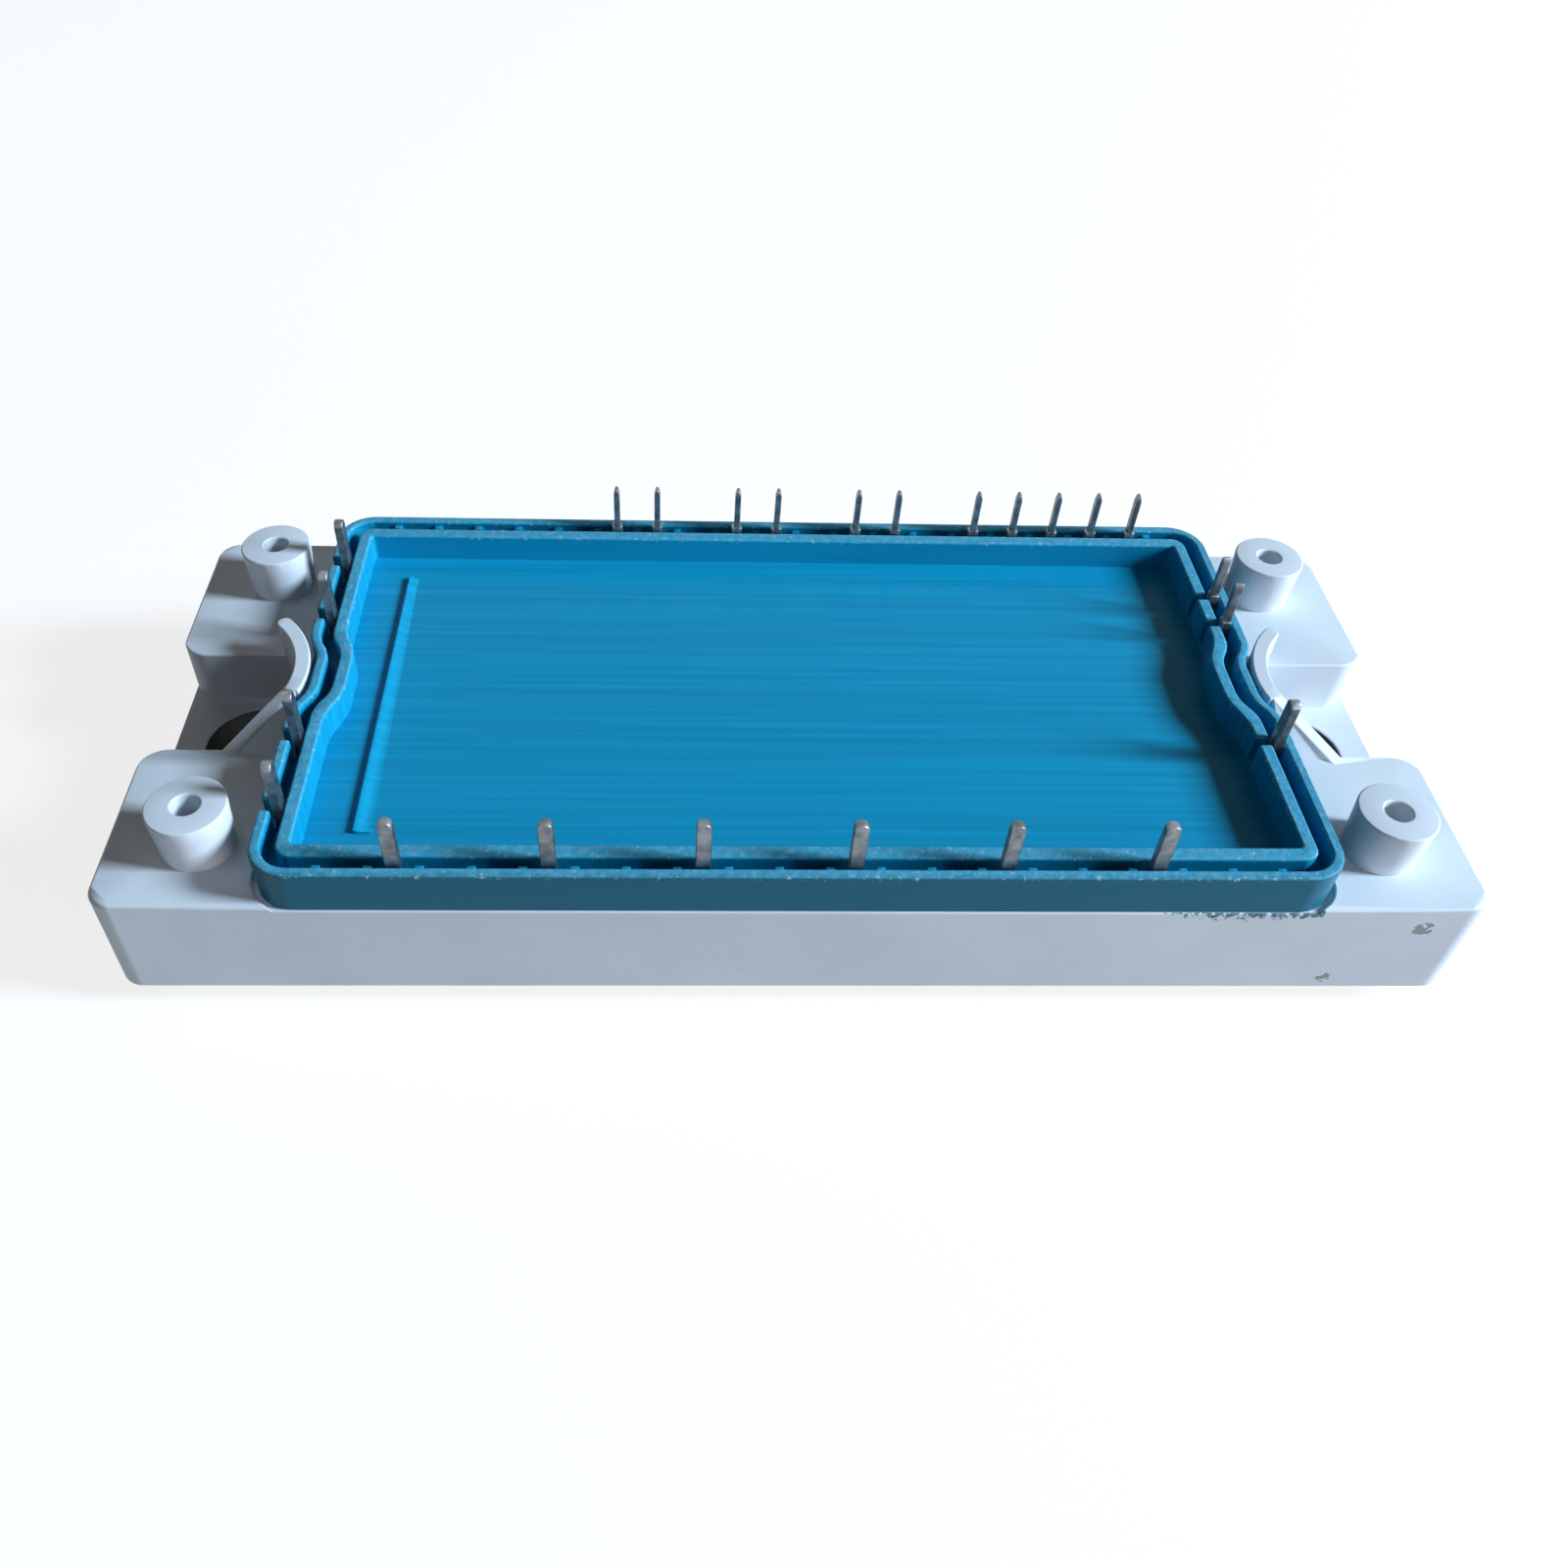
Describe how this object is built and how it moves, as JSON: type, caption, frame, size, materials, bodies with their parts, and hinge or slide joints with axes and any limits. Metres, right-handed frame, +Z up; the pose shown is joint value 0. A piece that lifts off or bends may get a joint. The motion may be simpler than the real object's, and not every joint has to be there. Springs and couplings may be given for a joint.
{
  "type": "igbt module",
  "caption": "Flat power semiconductor module: white frame with screw pockets and board bosses, recessed teal lid, metal baseplate and rows of upright solder pins.",
  "frame": {"origin": "centre of the mounting face under the baseplate", "axes": "+X along the length towards the end with the sensor pins, +Y towards the row of signal pins, +Z up out of the lid"},
  "size_m": [0.1076, 0.045, 0.0205],
  "materials": {
    "frame_plastic": "fine-spark moulded, slightly cool white",
    "lid_plastic": "smooth moulded teal with faint flow lines and chipped rim edges",
    "plated_copper": "nickel-plated copper, satin",
    "adhesive": "cured adhesive",
    "solder": "reflowed solder",
    "copper_foil": "bonded copper foil",
    "alumina": "fired alumina",
    "silicon": "metallised silicon",
    "sensor_ceramic": "sintered",
    "tinned_copper": "dull tin plate",
    "bond_aluminium": "drawn wire",
    "gel": "clear soft silicone gel"
  },
  "bodies": {
    "root": {"housing_frame": "frame_plastic", "lid": "lid_plastic", "baseplate": "plated_copper", "adhesive_bead": "adhesive", "substrate_solder": "solder", "substrate_lower_copper": "copper_foil", "substrate_ceramic": "alumina", "substrate_copper_islands": "copper_foil", "chip_solder": "solder", "rectifier_diode_1": "silicon", "rectifier_diode_2": "silicon", "rectifier_diode_3": "silicon", "rectifier_diode_4": "silicon", "rectifier_diode_5": "silicon", "rectifier_diode_6": "silicon", "igbt_1": "silicon", "igbt_2": "silicon", "igbt_3": "silicon", "igbt_4": "silicon", "igbt_5": "silicon", "igbt_6": "silicon", "freewheel_diode_1": "silicon", "freewheel_diode_2": "silicon", "freewheel_diode_3": "silicon", "freewheel_diode_4": "silicon", "freewheel_diode_5": "silicon", "freewheel_diode_6": "silicon", "brake_igbt": "silicon", "brake_diode": "silicon", "temperature_sensor": "sensor_ceramic", "front_power_pin_1": "tinned_copper", "front_power_pin_2": "tinned_copper", "front_power_pin_3": "tinned_copper", "front_power_pin_4": "tinned_copper", "front_power_pin_5": "tinned_copper", "front_power_pin_6": "tinned_copper", "right_power_pin_1": "tinned_copper", "right_sensor_pin_1": "tinned_copper", "right_sensor_pin_2": "tinned_copper", "rear_signal_pin_1": "tinned_copper", "rear_signal_pin_2": "tinned_copper", "rear_signal_pin_3": "tinned_copper", "rear_signal_pin_4": "tinned_copper", "rear_signal_pin_5": "tinned_copper", "rear_signal_pin_6": "tinned_copper", "rear_signal_pin_7": "tinned_copper", "rear_signal_pin_8": "tinned_copper", "rear_signal_pin_9": "tinned_copper", "rear_signal_pin_10": "tinned_copper", "rear_signal_pin_11": "tinned_copper", "left_power_pin_1": "tinned_copper", "left_power_pin_2": "tinned_copper", "left_power_pin_3": "tinned_copper", "left_power_pin_4": "tinned_copper", "bond_wires": "bond_aluminium", "silicone_gel": "gel"}
  },
  "joints": []
}
